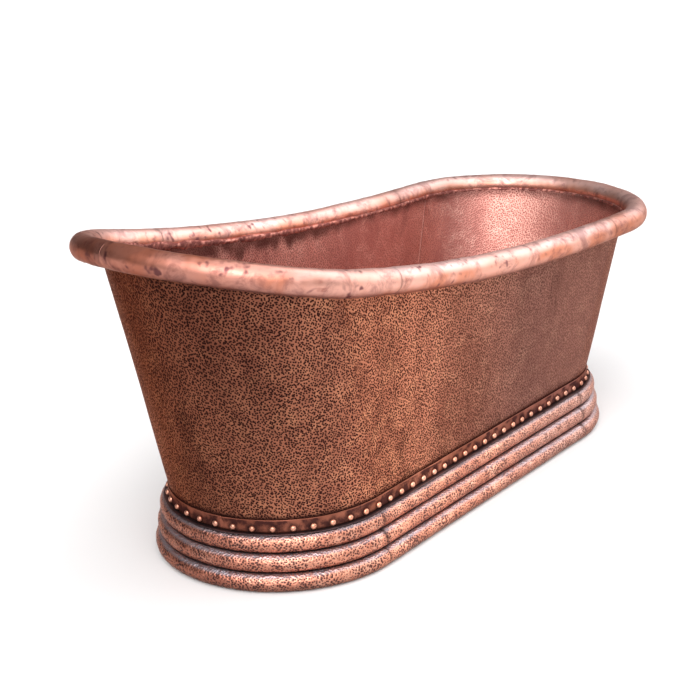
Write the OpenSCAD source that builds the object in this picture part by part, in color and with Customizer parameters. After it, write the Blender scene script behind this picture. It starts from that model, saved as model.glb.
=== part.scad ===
// Freestanding slipper bathtub in hammered copper sheet, with a rolled rim, a riveted foot band
// and a stepped plinth. Millimetres, +Z up, origin on the floor under the middle of the tub.
// The raised end is at -X, the low end with the waste at +X, and the tub is even about Y = 0.

/* [Rim] */
// Overall length, over the rolled rim
length = 1829; // [1700:1:1900]
// Overall width, over the rolled rim
width = 730; // [690:1:780]
// Diameter of the rolled rim
rim_d = 60; // [50:1:64]
// Sheet thickness of the rim tube
rim_wall = 1.6; // [1.2:0.1:3]
// Length of each rounded end of the rim
rim_end = 278; // [250:1:330]
// Height of the rim's top at the low end
low_top = 604; // [560:1:650]
// Height of the rim's top at the raised end
high_top = 811; // [760:1:860]
// How late the rim sweeps up to the raised end
sweep = 2.4; // [1.6:0.1:3]

/* [Wall] */
// Length of the tub's foot
foot_length = 1448; // [1400:1:1500]
// Width of the tub's foot
foot_width = 536; // [500:1:560]
// Thickness of the wall sheet
sheet = 2; // [1.5:0.1:3]
// Distance from the rim tube's centre in to the outside of the wall
rim_overhang = 32; // [31:0.5:36]

/* [Foot band and rivets] */
// Height of the band's upper edge
band_top = 164; // [160:1:180]
// Thickness of the band
band_t = 2; // [1.5:0.1:3]
// Number of rivets around the band
rivet_count = 78; // [60:2:84]
// Diameter of a rivet head
rivet_d = 14; // [10:0.5:15]
// Height of a rivet head
rivet_h = 6; // [3:0.5:7]

/* [Plinth] */
// Height of one roll of the plinth
roll_d = 44; // [40:1:46]
// How far each roll stands out past the one above it
roll_step = 7.5; // [5:0.5:12]
// Sheet thickness of the rolls and the ledge
roll_t = 1.5; // [1.2:0.1:2]

/* [Cradle under the floor] */
// Side of the square steel rails
rail = 40; // [36:1:44]
// Distance between the two rails
rail_gap = 300; // [280:5:320]
// Width of a timber bearer
bearer_w = 45; // [40:1:50]
// Diameter of a levelling foot's pad
pad_d = 44; // [36:1:50]

/* [Waste] */
// Distance of the waste from the middle of the tub
drain_x = 470; // [440:5:490]
// Diameter of the waste flange
flange_d = 76; // [70:1:80]
// Outside diameter of the tailpiece
tail_d = 38.1; // [38:0.05:38.2]
// Travel of the push stopper
press = 9; // [7:0.5:9]

/* [Hidden] */
round_fn = 96;

// The rim's centre line, and the height of its low and raised ends
rim_r = rim_d / 2;
rim_a = length / 2 - rim_r;
rim_b = width / 2 - rim_r;
low_z = low_top - rim_r;
high_z = high_top - rim_r;
// The foot's plan is a straight-sided oval with half-round ends
foot_r = foot_width / 2;
straight = foot_length / 2 - foot_r;
// Heights of the stacked rolls, of the wall's lower edge and of the floor
plinth_top = 3 * roll_d;
wall_low = 2 * roll_d + roll_t + 0.2;
ledge_z = plinth_top + roll_t;
floor_z = 118;
floor_t = 2;
cove_r = 30;
flange_top = band_top - 4;
// The roll offsets are measured from the foot's plan to the middle of each roll
top_offset = 1.5;
roll_flange = 20;
ledge_out = 12;
// The band's two strips meet a little to the front of the raised end's tip
band_joint = 8;
rivet_z = band_top - 21;
rivet_shank_r = 2.5;
copper = [0.62, 0.33, 0.22];
dark_copper = [0.42, 0.22, 0.16];
bright_copper = [0.86, 0.52, 0.38];
steel = [0.55, 0.56, 0.58];
timber = [0.72, 0.56, 0.36];
rubber = [0.12, 0.12, 0.12];

// Plan of the oval: u runs 0 to 4, low end, back, raised end, front
function turn(u) = u - 4 * floor(u / 4);
function plan_at(u, a, b, e) =
    u < 1 ? [a - e + e * cos(180 * u - 90), b * sin(180 * u - 90)] :
    u < 2 ? [(a - e) * (3 - 2 * u), b] :
    u < 3 ? [e - a - e * sin(180 * (u - 2)), b * cos(180 * (u - 2))] :
    [(a - e) * (2 * u - 7), -b];
function plan(u, a, b, e) = plan_at(turn(u), a, b, e);
// Outward direction of the plan
function plan_out(u, a, b, e) =
    let(t = plan(u + 0.002, a, b, e) - plan(u - 0.002, a, b, e))
    [t.y, -t.x] / norm(t);
// Height of the rim's centre line above the floor
function rim_height(x) = low_z + (high_z - low_z) * pow(max(0, (1 - x / rim_a) / 2), sweep);
function rim_plan(u) = plan(u, rim_a, rim_b, rim_end);
function rim_centre(u) = [rim_plan(u).x, rim_plan(u).y, rim_height(rim_plan(u).x)];

// A closed surface from rows of points: the rows are joined in order, each row is a closed loop
function loop_faces(rows, n) = [for (i = [0:rows - 2], j = [0:n - 1], k = [0:1])
    let(a = i * n + j, b = i * n + (j + 1) % n)
    k == 0 ? [a, a + n, b] : [b, a + n, b + n]];

// Rim tube: rings of points around the centre line, the bore's rings follow the outer ones
rim_sides = 20;
function ring_point(u, r, angle) =
    let(c = rim_centre(u), out = plan_out(u, rim_a, rim_b, rim_end),
        t = rim_centre(u + 0.002) - rim_centre(u - 0.002), h = [out.x, out.y, 0],
        v = cross(t / norm(t), h) * -1)
    c + r * (cos(angle) * h + sin(angle) * v / norm(v));
module rim_tube(from, to, steps) {
    n = rim_sides;
    rows = steps + 1;
    outer = [for (i = [0:steps], j = [0:n - 1])
        ring_point(from + (to - from) * i / steps, rim_r, 360 * j / n)];
    inner = [for (i = [0:steps], j = [0:n - 1])
        ring_point(from + (to - from) * i / steps, rim_r - rim_wall, 360 * j / n)];
    base = rows * n;
    outside = loop_faces(rows, n);
    inside = [for (f = loop_faces(rows, n)) [f[2] + base, f[1] + base, f[0] + base]];
    start = [for (j = [0:n - 1], k = [0:1]) let(b = (j + 1) % n)
        k == 0 ? [j, b, base + j] : [b, base + b, base + j]];
    last = steps * n;
    end = [for (j = [0:n - 1], k = [0:1]) let(b = (j + 1) % n)
        k == 0 ? [last + j, base + last + j, last + b] :
        [last + b, base + last + j, base + last + b]];
    color(copper) polyhedron(concat(outer, inner), concat(outside, inside, start, end));
}

// Wall sheet: upright behind the band, then straight from the foot's plan out to the rim
wall_levels = 6;
// The sheet is brazed to the rim tube's inner side, a little below the tube's centre
wall_drop = 4;
function wall_level(k) = k < 2 ? 0 : (k - 1) / (wall_levels - 1);
function wall_point(u, k, inset) =
    let(v = wall_level(k), f = plan(u, foot_length / 2 - inset, foot_r - inset, foot_r - inset),
        d = rim_overhang + inset, t = plan(u, rim_a - d, rim_b - d, rim_end - d),
        top = rim_height(rim_plan(u).x) - wall_drop,
        z = k == 0 ? wall_low : band_top + (top - band_top) * v)
    [f.x + (t.x - f.x) * v, f.y + (t.y - f.y) * v, z];
module wall_panel(from, to, steps) {
    // Each row is one upright section of the sheet: up the outside, then down the inside
    n = 2 * (wall_levels + 1);
    points = [for (i = [0:steps], k = [0:n - 1]) let(u = from + (to - from) * i / steps)
        k <= wall_levels ? wall_point(u, k, 0) : wall_point(u, n - 1 - k, sheet)];
    last = steps * n;
    m = wall_levels;
    start = [for (k = [0:m - 1], s = [0:1])
        s == 0 ? [k, k + 1, n - 1 - k] : [k + 1, n - 2 - k, n - 1 - k]];
    end = [for (f = start) [f[2] + last, f[1] + last, f[0] + last]];
    color(copper) polyhedron(points, concat(loop_faces(steps + 1, n), start, end));
}

// Sweep of a section around part of the foot: x is the distance out from the foot's plan
module sweep_front() {
    translate([-straight, -foot_r, 0]) rotate([90, 0, 90]) linear_extrude(2 * straight)
        mirror([1, 0]) children();
}
module sweep_back() {
    mirror([0, 1, 0]) sweep_front() children();
}
module sweep_end(low, from, to) {
    // Angles run from the low end's or the raised end's tip, plus towards the back
    middle = low ? 0 : 180;
    side = low ? 1 : -1;
    first = min(middle + side * from, middle + side * to);
    translate([(low ? 1 : -1) * straight, 0, 0]) rotate([0, 0, first])
        rotate_extrude(angle = to - from, $fn = round_fn) translate([foot_r, 0]) children();
}

// Half-round roll of the plinth, open at the back, with a flange at the top and the bottom
module roll_section(index) {
    offset_out = top_offset + index * roll_step;
    flange = index == 0 ? top_offset - 0.5 : roll_flange;
    translate([offset_out, plinth_top - (index + 0.5) * roll_d]) {
        difference() {
            circle(d = roll_d, $fn = 64);
            circle(d = roll_d - 2 * roll_t, $fn = 64);
            translate([-roll_d, -roll_d]) square([roll_d, 2 * roll_d]);
        }
        translate([-flange, roll_d / 2 - roll_t]) square([flange, roll_t]);
        translate([-roll_flange, -roll_d / 2]) square([roll_flange, roll_t]);
    }
}
module roll_front(index) {
    color(copper) sweep_front() roll_section(index);
}
module roll_back(index) {
    color(copper) sweep_back() roll_section(index);
}
module roll_end(index, low, from, to) {
    color(copper) sweep_end(low, from, to) roll_section(index);
}

// Narrow ledge between the band and the top roll
module ledge_section() {
    translate([0.3, plinth_top]) square([ledge_out - 0.3, roll_t]);
}
module ledge_front() {
    color(dark_copper) sweep_front() ledge_section();
}
module ledge_back() {
    color(dark_copper) sweep_back() ledge_section();
}
module ledge_end(low) {
    color(dark_copper) sweep_end(low, -90, 90) ledge_section();
}

// Riveted band, in a front strip and a back strip
module band_section() {
    translate([0.2, ledge_z]) square([band_t, band_top - ledge_z]);
}
module band_front() {
    color(dark_copper) {
        sweep_front() band_section();
        mirror([0, 1, 0]) sweep_end(true, 0, 90) band_section();
        mirror([0, 1, 0]) sweep_end(false, band_joint, 90) band_section();
    }
}
module band_back() {
    color(dark_copper) {
        sweep_back() band_section();
        sweep_end(true, 0, 90) band_section();
        sweep_end(false, -band_joint, 90) band_section();
    }
}

// Rivets at an even pitch along the band, counted from the raised end's tip towards the front
band_length = 4 * straight + 2 * PI * foot_r;
quarter = PI * foot_r / 2;
function band_place(s) =
    s < quarter ? [-straight, 0, 180 + s / foot_r * 180 / PI] :
    s < quarter + 2 * straight ? [-straight + s - quarter, 0, 270] :
    s < 3 * quarter + 2 * straight ?
        [straight, 0, 270 + (s - quarter - 2 * straight) / foot_r * 180 / PI] :
    s < 3 * quarter + 4 * straight ? [straight - (s - 3 * quarter - 2 * straight), 0, 90] :
    [-straight, 0, 90 + (s - 3 * quarter - 4 * straight) / foot_r * 180 / PI];
module rivet() {
    sphere_r = (rivet_d * rivet_d / 4 + rivet_h * rivet_h) / (2 * rivet_h);
    rotate([0, 90, 0]) {
        intersection() {
            translate([0, 0, rivet_h - sphere_r]) sphere(r = sphere_r, $fn = 48);
            cylinder(d = rivet_d + 2, h = rivet_h + 1, $fn = 32);
        }
        translate([0, 0, -band_t - sheet]) cylinder(r = rivet_shank_r, h = band_t + sheet + 0.5, $fn = 24);
    }
}
rivet_phase = 0.5;
module band_rivets() {
    color(bright_copper)
    for (i = [0:rivet_count - 1]) {
        place = band_place((i + rivet_phase) * band_length / rivet_count);
        translate([place.x, place.y, rivet_z]) rotate([0, 0, place.z])
            translate([foot_r + 0.2 + band_t, 0, 0]) rivet();
    }
}

// Floor: a flat pan, dished around the waste, in coved strips that turn up inside the wall
pan_out = -sheet - 1.2;
recess_r = flange_d / 2 + 4;
recess_depth = 3;
drain_hole_r = 24.5;
module cove_section() {
    translate([pan_out - cove_r, floor_z - floor_t + cove_r]) difference() {
        circle(r = cove_r, $fn = 64);
        circle(r = cove_r - floor_t, $fn = 64);
        translate([-2 * cove_r, -2 * cove_r]) square([2 * cove_r, 4 * cove_r]);
        translate([-cove_r, 0]) square([3 * cove_r, 2 * cove_r]);
    }
    pan_flange = floor_z - floor_t + cove_r;
    translate([pan_out - floor_t, pan_flange]) square([floor_t, flange_top - pan_flange]);
}
module cove_front() {
    color(copper) sweep_front() cove_section();
}
module cove_back() {
    color(copper) sweep_back() cove_section();
}
module cove_end(low) {
    color(copper) sweep_end(low, -90, 90) cove_section();
}
module floor_pan() {
    r = foot_r + pan_out - cove_r;
    color(copper) {
        translate([0, 0, floor_z - floor_t]) difference() {
            union() {
                translate([-straight, -r, 0]) cube([2 * straight, 2 * r, floor_t]);
                for (x = [-straight, straight]) translate([x, 0, 0])
                    cylinder(r = r, h = floor_t, $fn = round_fn);
            }
            translate([drain_x, 0, -1]) cylinder(r = recess_r, h = floor_t + 2, $fn = 64);
        }
        translate([drain_x, 0, floor_z - recess_depth - floor_t]) difference() {
            cylinder(r = recess_r, h = recess_depth + floor_t, $fn = 64);
            translate([0, 0, floor_t]) cylinder(r = recess_r - floor_t, h = 9, $fn = 64);
            translate([0, 0, -1]) cylinder(r = drain_hole_r, h = 9, $fn = 64);
        }
    }
}

// Cradle: two steel rails on levelling feet carry timber bearers under the floor
rail_length = 1200;
rail_z = 24;
rail_wall = 3;
bearer_length = 400;
bearer_places = [-540, -270, 0, 270, 580];
foot_places = [-520, 20, 520];
stud_r = 6;
pad_h = 8;
nut_h = 8;
module rail_at(side) {
    color(steel) translate([-rail_length / 2, side * rail_gap / 2 - rail / 2, rail_z])
        difference() {
            cube([rail_length, rail, rail]);
            translate([-1, rail_wall, rail_wall])
                cube([rail_length + 2, rail - 2 * rail_wall, rail - 2 * rail_wall]);
            for (x = foot_places) translate([x + rail_length / 2, rail / 2, -1])
                cylinder(r = stud_r + 0.3, h = rail_wall + 2, $fn = 32);
        }
}
module bearer(index) {
    color(timber) translate([bearer_places[index] - bearer_w / 2, -bearer_length / 2, rail_z + rail])
        cube([bearer_w, bearer_length, floor_z - floor_t - rail_z - rail]);
}
module at_feet() {
    for (x = foot_places, side = [-1, 1]) translate([x, side * rail_gap / 2, 0]) children();
}
module foot_pads() {
    color(rubber) at_feet() cylinder(d = pad_d, h = pad_h, $fn = 48);
}
module foot_studs() {
    color(steel) at_feet() translate([0, 0, pad_h]) {
        cylinder(r = stud_r, h = rail_z + 16 - pad_h, $fn = 32);
        cylinder(r = stud_r + 5, h = 3, $fn = 32);
    }
}
module foot_nuts() {
    color(steel) at_feet() translate([0, 0, rail_z - nut_h]) difference() {
        cylinder(d = 22, h = nut_h, $fn = 6);
        translate([0, 0, -1]) cylinder(r = stud_r + 0.1, h = nut_h + 2, $fn = 32);
    }
}

// Waste, from the flange in the floor down to the open end of the tailpiece
recess_z = floor_z - recess_depth;
gasket_t = 1.5;
flange_z = recess_z + gasket_t;
flange_t = 3;
body_r = 23.5;
body_bore = 20;
body_low = 61;
bar_z = 72;
bar_h = 5;
boss_r = 7;
boss_z = 66;
tail_r = tail_d / 2;
tail_wall = 1.2;
tail_low = 10;
tail_length = 50;
spigot_r = tail_r - 0.3;
module at_drain(z) {
    translate([drain_x, 0, z]) children();
}
module disc_ring(r_out, r_in, h) {
    difference() {
        cylinder(r = r_out, h = h, $fn = 64);
        translate([0, 0, -1]) cylinder(r = r_in, h = h + 2, $fn = 64);
    }
}
module drain_body() {
    color(bright_copper) at_drain(0) difference() {
        union() {
            difference() {
                union() {
                    translate([0, 0, flange_z]) cylinder(d = flange_d, h = flange_t, $fn = 96);
                    translate([0, 0, body_low])
                        cylinder(r = body_r, h = flange_z - body_low + 1, $fn = 96);
                }
                translate([0, 0, bar_z]) cylinder(r = body_bore, h = 60, $fn = 64);
                translate([0, 0, body_low - 1]) cylinder(r = spigot_r + 0.08, h = 60, $fn = 64);
                translate([0, 0, flange_z + 0.5])
                    cylinder(r1 = body_bore, r2 = body_bore + 4, h = flange_t, $fn = 64);
            }
            translate([0, 0, boss_z]) cylinder(r = boss_r, h = bar_z + bar_h + 3 - boss_z, $fn = 48);
            for (a = [0, 90]) rotate([0, 0, a]) translate([-body_bore - 1, -2, bar_z])
                cube([2 * body_bore + 2, 4, bar_h]);
        }
        translate([0, 0, boss_z - 1]) cylinder(r = 4.05, h = 30, $fn = 32);
    }
}
module drain_gasket() {
    color(rubber) at_drain(recess_z) disc_ring(flange_d / 2 - 1, drain_hole_r, gasket_t);
}
washer_z = recess_z - floor_t;
rubber_t = 6;
fibre_t = 1.5;
module drain_rubber_washer() {
    color(rubber) at_drain(washer_z - rubber_t) disc_ring(36, body_r + 0.2, rubber_t);
}
module drain_fibre_washer() {
    color([0.3, 0.24, 0.2]) at_drain(washer_z - rubber_t - fibre_t)
        disc_ring(35, body_r + 0.2, fibre_t);
}
lock_nut_h = 10;
module drain_nut() {
    color(bright_copper) at_drain(washer_z - rubber_t - fibre_t - lock_nut_h) difference() {
        cylinder(d = 70, h = lock_nut_h, $fn = 6);
        translate([0, 0, -1]) cylinder(r = body_r + 0.1, h = lock_nut_h + 2, $fn = 64);
    }
}
module drain_tailpiece() {
    color(bright_copper) at_drain(tail_low) {
        disc_ring(tail_r, tail_r - tail_wall, tail_length);
        translate([0, 0, tail_length])
            disc_ring(spigot_r, tail_r - tail_wall, bar_z - tail_low - tail_length);
    }
}

// Push stopper: a cap and seal on a stem, held up by a spring inside the guide
guide_r = 9;
guide_bore = 7.5;
guide_low = bar_z + bar_h + 3;
guide_top = 110;
piston_h = 5;
piston_low = 102;
stem_r = 3;
cap_low = flange_z + flange_t + press + 2.8;
cap_r = 30;
cap_h = 6;
seal_t = 2.5;
module stopper_guide() {
    color(bright_copper) at_drain(0) difference() {
        union() {
            translate([0, 0, guide_low]) cylinder(r = guide_r, h = guide_top - guide_low, $fn = 48);
            translate([0, 0, boss_z]) cylinder(r = 4, h = guide_low - boss_z + 1, $fn = 32);
        }
        translate([0, 0, guide_low + 1.5])
            cylinder(r = guide_bore, h = guide_top - guide_low - 3.5, $fn = 48);
        translate([0, 0, guide_top - 4]) cylinder(r = stem_r + 0.06, h = 5, $fn = 32);
    }
}
coil_r = 5.2;
coil_turns = 7;
coil_wire = 0.6;
coil_steps = 16;
module stopper_spring() {
    low = guide_low + 1.5 + coil_wire;
    high = piston_low - coil_wire - 0.1;
    steps = coil_turns * coil_steps;
    n = 6;
    points = [for (i = [0:steps], j = [0:n - 1])
        let(a = 360 * i / coil_steps, r = coil_r + coil_wire * cos(360 * j / n))
        [r * cos(a), r * sin(a), low + (high - low) * i / steps + coil_wire * sin(360 * j / n)]];
    first = [for (j = [0:n - 1]) j];
    last = [for (j = [0:n - 1]) steps * n + n - 1 - j];
    color(steel) at_drain(0)
        polyhedron(points, concat([for (f = loop_faces(steps + 1, n)) [f[2], f[1], f[0]]], [last, first]));
}
module stopper_stem() {
    color(steel) at_drain(piston_low) {
        cylinder(r = guide_bore - 0.08, h = piston_h, $fn = 48);
        cylinder(r = stem_r, h = cap_low + 2 - piston_low, $fn = 32);
    }
}
module stopper_cap() {
    dome_r = (cap_r * cap_r + cap_h * cap_h) / (2 * cap_h);
    color(bright_copper) at_drain(cap_low) difference() {
        union() {
            cylinder(r = cap_r, h = 1.5, $fn = 96);
            translate([0, 0, 1.5]) intersection() {
                translate([0, 0, cap_h - dome_r]) sphere(r = dome_r, $fn = 96);
                cylinder(r = cap_r, h = cap_h, $fn = 96);
            }
        }
        translate([0, 0, -1]) cylinder(r = stem_r + 0.02, h = 3, $fn = 32);
    }
}
module stopper_seal() {
    color(rubber) at_drain(cap_low - seal_t) disc_ring(27, 21, seal_t);
}

end_steps = 24;
side_steps = 12;
wall_panel(3, 4, side_steps);  // side_panel_front
wall_panel(1, 2, side_steps);  // side_panel_back
wall_panel(2, 3, end_steps);  // end_panel_high
wall_panel(0, 1, end_steps);  // end_panel_low
floor_pan();
cove_front();
cove_back();
cove_end(false);  // cove_high_end
cove_end(true);  // cove_low_end
rim_tube(3.11, 3.91, 14);  // rim_front
rim_tube(1.1, 1.9, 14);  // rim_back
rim_tube(3.91, 5.1, 26);  // rim_low_end
rim_tube(2.42, 3.11, 16);  // rim_high_front
rim_tube(1.9, 2.42, 12);  // rim_high_back
band_front();
band_back();
band_rivets();
ledge_front();
ledge_back();
ledge_end(false);  // ledge_high_end
ledge_end(true);  // ledge_low_end
roll_front(0);  // top_roll_front
roll_back(0);  // top_roll_back
roll_end(0, false, -90, 0);  // top_roll_high_front
roll_end(0, false, 0, 90);  // top_roll_high_back
roll_end(0, true, -90, 0);  // top_roll_low_front
roll_end(0, true, 0, 90);  // top_roll_low_back
roll_front(1);  // middle_roll_front
roll_back(1);  // middle_roll_back
roll_end(1, false, -90, 90);  // middle_roll_high_end
roll_end(1, true, -90, 90);  // middle_roll_low_end
roll_front(2);  // bottom_roll_front
roll_back(2);  // bottom_roll_back
roll_end(2, false, -90, 90);  // bottom_roll_high_end
roll_end(2, true, -90, 90);  // bottom_roll_low_end
rail_at(-1);  // cradle_rail_front
rail_at(1);  // cradle_rail_back
bearer(0);  // bearer_1
bearer(1);  // bearer_2
bearer(2);  // bearer_3
bearer(3);  // bearer_4
bearer(4);  // bearer_5
foot_pads();
foot_studs();
foot_nuts();
drain_body();
drain_gasket();
drain_rubber_washer();
drain_fibre_washer();
drain_nut();
drain_tailpiece();
stopper_guide();
stopper_spring();
stopper_stem();
stopper_cap();
stopper_seal();
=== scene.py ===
"""Looks of the hammered copper slipper bathtub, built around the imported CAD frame. Metres, +Z up.

The raised end is at -X, the low end with the waste is at +X and the side in view is at -Y.
Stations around the foot are measured by s, the distance along the foot from the raised end's tip
towards the front. Stations around the rim are measured by u, which runs 0 to 4: low end, back,
raised end, front.
"""

import math

import bmesh
import bpy
import numpy as np
from mathutils import Matrix, Vector
from mathutils.geometry import delaunay_2d_cdt


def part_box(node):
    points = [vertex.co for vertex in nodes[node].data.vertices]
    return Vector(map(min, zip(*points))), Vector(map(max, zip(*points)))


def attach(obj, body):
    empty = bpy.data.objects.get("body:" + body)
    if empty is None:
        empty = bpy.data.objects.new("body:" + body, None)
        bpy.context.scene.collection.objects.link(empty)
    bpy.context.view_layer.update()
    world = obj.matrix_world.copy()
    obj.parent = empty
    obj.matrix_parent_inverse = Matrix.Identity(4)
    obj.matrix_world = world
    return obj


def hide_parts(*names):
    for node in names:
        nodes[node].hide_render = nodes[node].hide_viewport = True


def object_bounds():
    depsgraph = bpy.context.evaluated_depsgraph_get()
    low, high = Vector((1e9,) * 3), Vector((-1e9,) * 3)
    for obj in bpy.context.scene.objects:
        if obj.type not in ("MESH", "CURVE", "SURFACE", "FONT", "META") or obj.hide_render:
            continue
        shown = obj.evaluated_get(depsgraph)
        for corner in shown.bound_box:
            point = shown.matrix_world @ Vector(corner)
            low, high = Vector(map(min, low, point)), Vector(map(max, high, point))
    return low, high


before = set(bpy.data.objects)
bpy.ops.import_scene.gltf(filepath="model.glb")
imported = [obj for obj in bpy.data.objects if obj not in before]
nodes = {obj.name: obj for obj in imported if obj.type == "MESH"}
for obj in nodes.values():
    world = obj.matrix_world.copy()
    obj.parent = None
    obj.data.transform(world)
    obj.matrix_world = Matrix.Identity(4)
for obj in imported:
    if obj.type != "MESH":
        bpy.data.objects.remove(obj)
cad_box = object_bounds()
TUB, STOPPER = "tub", "stopper"
MM = 0.001
PI = math.pi


# ---------------- sizes, from the frame
def box(node):
    low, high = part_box(node)
    return np.array(low), np.array(high)


tub_high = np.array(cad_box[1])
rim_low_box, ledge_box = box("rim_low_end"), box("ledge_front")
band_box, cove_box = box("band_front"), box("cove_front")

RIM_R = 30 * MM
RIM_END = 278 * MM  # length of each rounded end of the rim
RIM_SWEEP = 2.4  # how late the rim sweeps up to the raised end
RIM_A = tub_high[0] - RIM_R
RIM_B = tub_high[1] - RIM_R
RIM_LOW_Z = rim_low_box[0][2] + RIM_R
RIM_HIGH_Z = tub_high[2] - RIM_R
RIM_SEAMS = {  # u where each length of the rim starts and ends
    "rim_front": (3.11, 3.91),
    "rim_back": (1.1, 1.9),
    "rim_low_end": (3.91, 5.1),
    "rim_high_front": (2.42, 3.11),
    "rim_high_back": (1.9, 2.42),
}

LEDGE_OUT = 12 * MM
FOOT_R = -ledge_box[0][1] - LEDGE_OUT
STRAIGHT = ledge_box[1][0]
PLINTH_TOP = ledge_box[0][2]
LEDGE_T = ledge_box[1][2] - ledge_box[0][2]
BAND_TOP = band_box[1][2]
BAND_GAP = 0.2 * MM  # from the wall to the back of the band
BAND_T = -band_box[0][1] - FOOT_R - BAND_GAP
ROLL_D = PLINTH_TOP / 3
ROLL_R = ROLL_D / 2
ROLL_STEP = 7.5 * MM  # how much further out each roll lies than the one above
ROLL_TOP_OUT = 1.5 * MM
ROLL_FLANGE = 20 * MM  # how far the flanges reach inward
ROLL_T = 1.5 * MM

SHEET = 2 * MM
WALL_OUT = 32 * MM  # from the rim's centre line in to the outside of the wall
WALL_DROP = 4 * MM  # from the rim's centre line down to the wall's top edge
WALL_LOW = box("side_panel_front")[0][2]
RIVETS = 78
RIVET_Z = BAND_TOP - 21 * MM
RIVET_R = 7.5 * MM
RIVET_H = 6 * MM
BAND_JOINT = math.radians(8)  # from the raised end's tip towards the front


# ---------------- noise
def hashed(seed, *cells):
    """A random number from 0 to 1 for each grid cell, the same on every run."""
    h = np.full(cells[0].shape, seed * 7919 + 13, np.uint64)
    for c in cells:
        h = (h ^ c.astype(np.int64).astype(np.uint64)) * np.uint64(0x9E3779B97F4A7C15)
        h ^= h >> np.uint64(31)
    return (h >> np.uint64(40)).astype(float) / 2.0**24


def noise(points, size, seed):
    """Smooth noise from -1 to 1 that changes over about `size`."""
    q = points / size
    cell = np.floor(q)
    f = q - cell
    f = f * f * (3 - 2 * f)
    cell = cell.astype(np.int64)
    total = 0
    for corner in np.ndindex(2, 2, 2):
        weight = 1
        for axis in range(3):
            weight = weight * (f[..., axis] if corner[axis] else 1 - f[..., axis])
        at = [cell[..., axis] + corner[axis] for axis in range(3)]
        total = total + weight * hashed(seed, *at)
    return 2 * total - 1


def dimples(s, t, pitch, seed):
    """Distance to the nearest hammer blow, in pitches, and that blow's own random number."""
    spread = 0.85  # how far a blow strays over its own cell
    qs, qt = s / pitch, t / pitch
    i, j = np.floor(qs).astype(np.int64), np.floor(qt).astype(np.int64)
    near = np.full(np.broadcast(qs, qt).shape, 9.0)
    force = np.zeros_like(near)
    for di in (-1, 0, 1):
        for dj in (-1, 0, 1):
            ci, cj = np.broadcast_arrays(i + di, j + dj)
            x = ci + 0.5 + spread * (hashed(seed, ci, cj) - 0.5)
            y = cj + 0.5 + spread * (hashed(seed + 1, ci, cj) - 0.5)
            d = np.hypot(qs - x, qt - y)
            force = np.where(d < near, hashed(seed + 2, ci, cj), force)
            near = np.minimum(near, d)
    return near, force


def smooth(x, low, high):
    """0 below low, 1 above high, smooth between."""
    t = np.clip((x - low) / (high - low), 0, 1)
    return t * t * (3 - 2 * t)


def circle(sides):
    """Even angles around a circle."""
    return np.arange(sides) / sides * 2 * PI


# ---------------- meshes
def placed(name, data):
    """A new object in the scene."""
    piece = bpy.data.objects.new(name, data)
    bpy.context.scene.collection.objects.link(piece)
    return piece


def grid_faces(n, m, wrap_n, wrap_m):
    """The quads of a grid of n by m points, closed on itself where it wraps."""
    rows, columns = np.arange(n if wrap_n else n - 1), np.arange(m if wrap_m else m - 1)
    i, j = np.meshgrid(rows, columns, indexing="ij")
    i2, j2 = (i + 1) % n, (j + 1) % m
    return np.stack([i * m + j, i2 * m + j, i2 * m + j2, i * m + j2], -1).reshape(-1, 4)


def make(name, points, faces, caps=(), materials=(), fields=None, tags=None):
    """One mesh object, faces outward. faces are rows of equal length, caps are flat ends, tags
    are the material index of each face, fields are named numbers on each point."""
    points = np.asarray(points, float).reshape(-1, 3)
    a, b, c = (points[faces[:, k]] for k in (0, 1, 2))
    volume = np.einsum("ij,ij->", a, np.cross(b, c))
    if faces.shape[1] == 4:
        d = points[faces[:, 3]]
        volume += np.einsum("ij,ij->", a, np.cross(c, d))
    if volume < 0:
        faces = faces[:, ::-1]
        caps = [cap[::-1] for cap in caps]
    corners = np.concatenate([faces.ravel(), *caps]).astype(np.int32)
    sizes = [faces.shape[1]] * len(faces) + [len(cap) for cap in caps]
    starts = np.concatenate([[0], np.cumsum(sizes)[:-1]]).astype(np.int32)
    mesh = bpy.data.meshes.new(name)
    mesh.vertices.add(len(points))
    mesh.vertices.foreach_set("co", points.astype(np.float32).ravel())
    mesh.loops.add(len(corners))
    mesh.loops.foreach_set("vertex_index", corners)
    mesh.polygons.add(len(sizes))
    mesh.polygons.foreach_set("loop_start", starts)
    smoothed = np.ones(len(sizes), bool)
    smoothed[len(faces) :] = False
    mesh.polygons.foreach_set("use_smooth", smoothed)
    for material in materials:
        mesh.materials.append(material)
    if tags is not None:
        index = np.zeros(len(sizes), np.int32)
        index[: len(faces)] = tags
        mesh.polygons.foreach_set("material_index", index)
    mesh.update(calc_edges=True)
    for key, values in (fields or {}).items():
        values = np.broadcast_to(values, points.shape[:1]).astype(np.float32)
        mesh.attributes.new(key, "FLOAT", "POINT").data.foreach_set("value", values)
    return placed(name, mesh)


def own(piece, replaced=(), body=TUB):
    """Says what a piece rides on, and hides the nodes it stands for."""
    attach(piece, body)
    if replaced:
        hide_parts(*replaced)


def sweep(name, rows, materials, fields=None, tags=None, wrap=False):
    """A closed section carried along stations. rows is stations by section points by 3."""
    n, m = rows.shape[:2]
    faces = grid_faces(n, m, wrap, True)
    caps = [] if wrap else [np.arange(m)[::-1], (n - 1) * m + np.arange(m)]
    flat = {k: np.broadcast_to(v, (n, m)).ravel() for k, v in (fields or {}).items()}
    if tags is not None:
        tags = np.broadcast_to(tags, (len(faces) // m, m)).ravel()
    return make(name, rows, faces, caps, materials, flat, tags)


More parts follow.
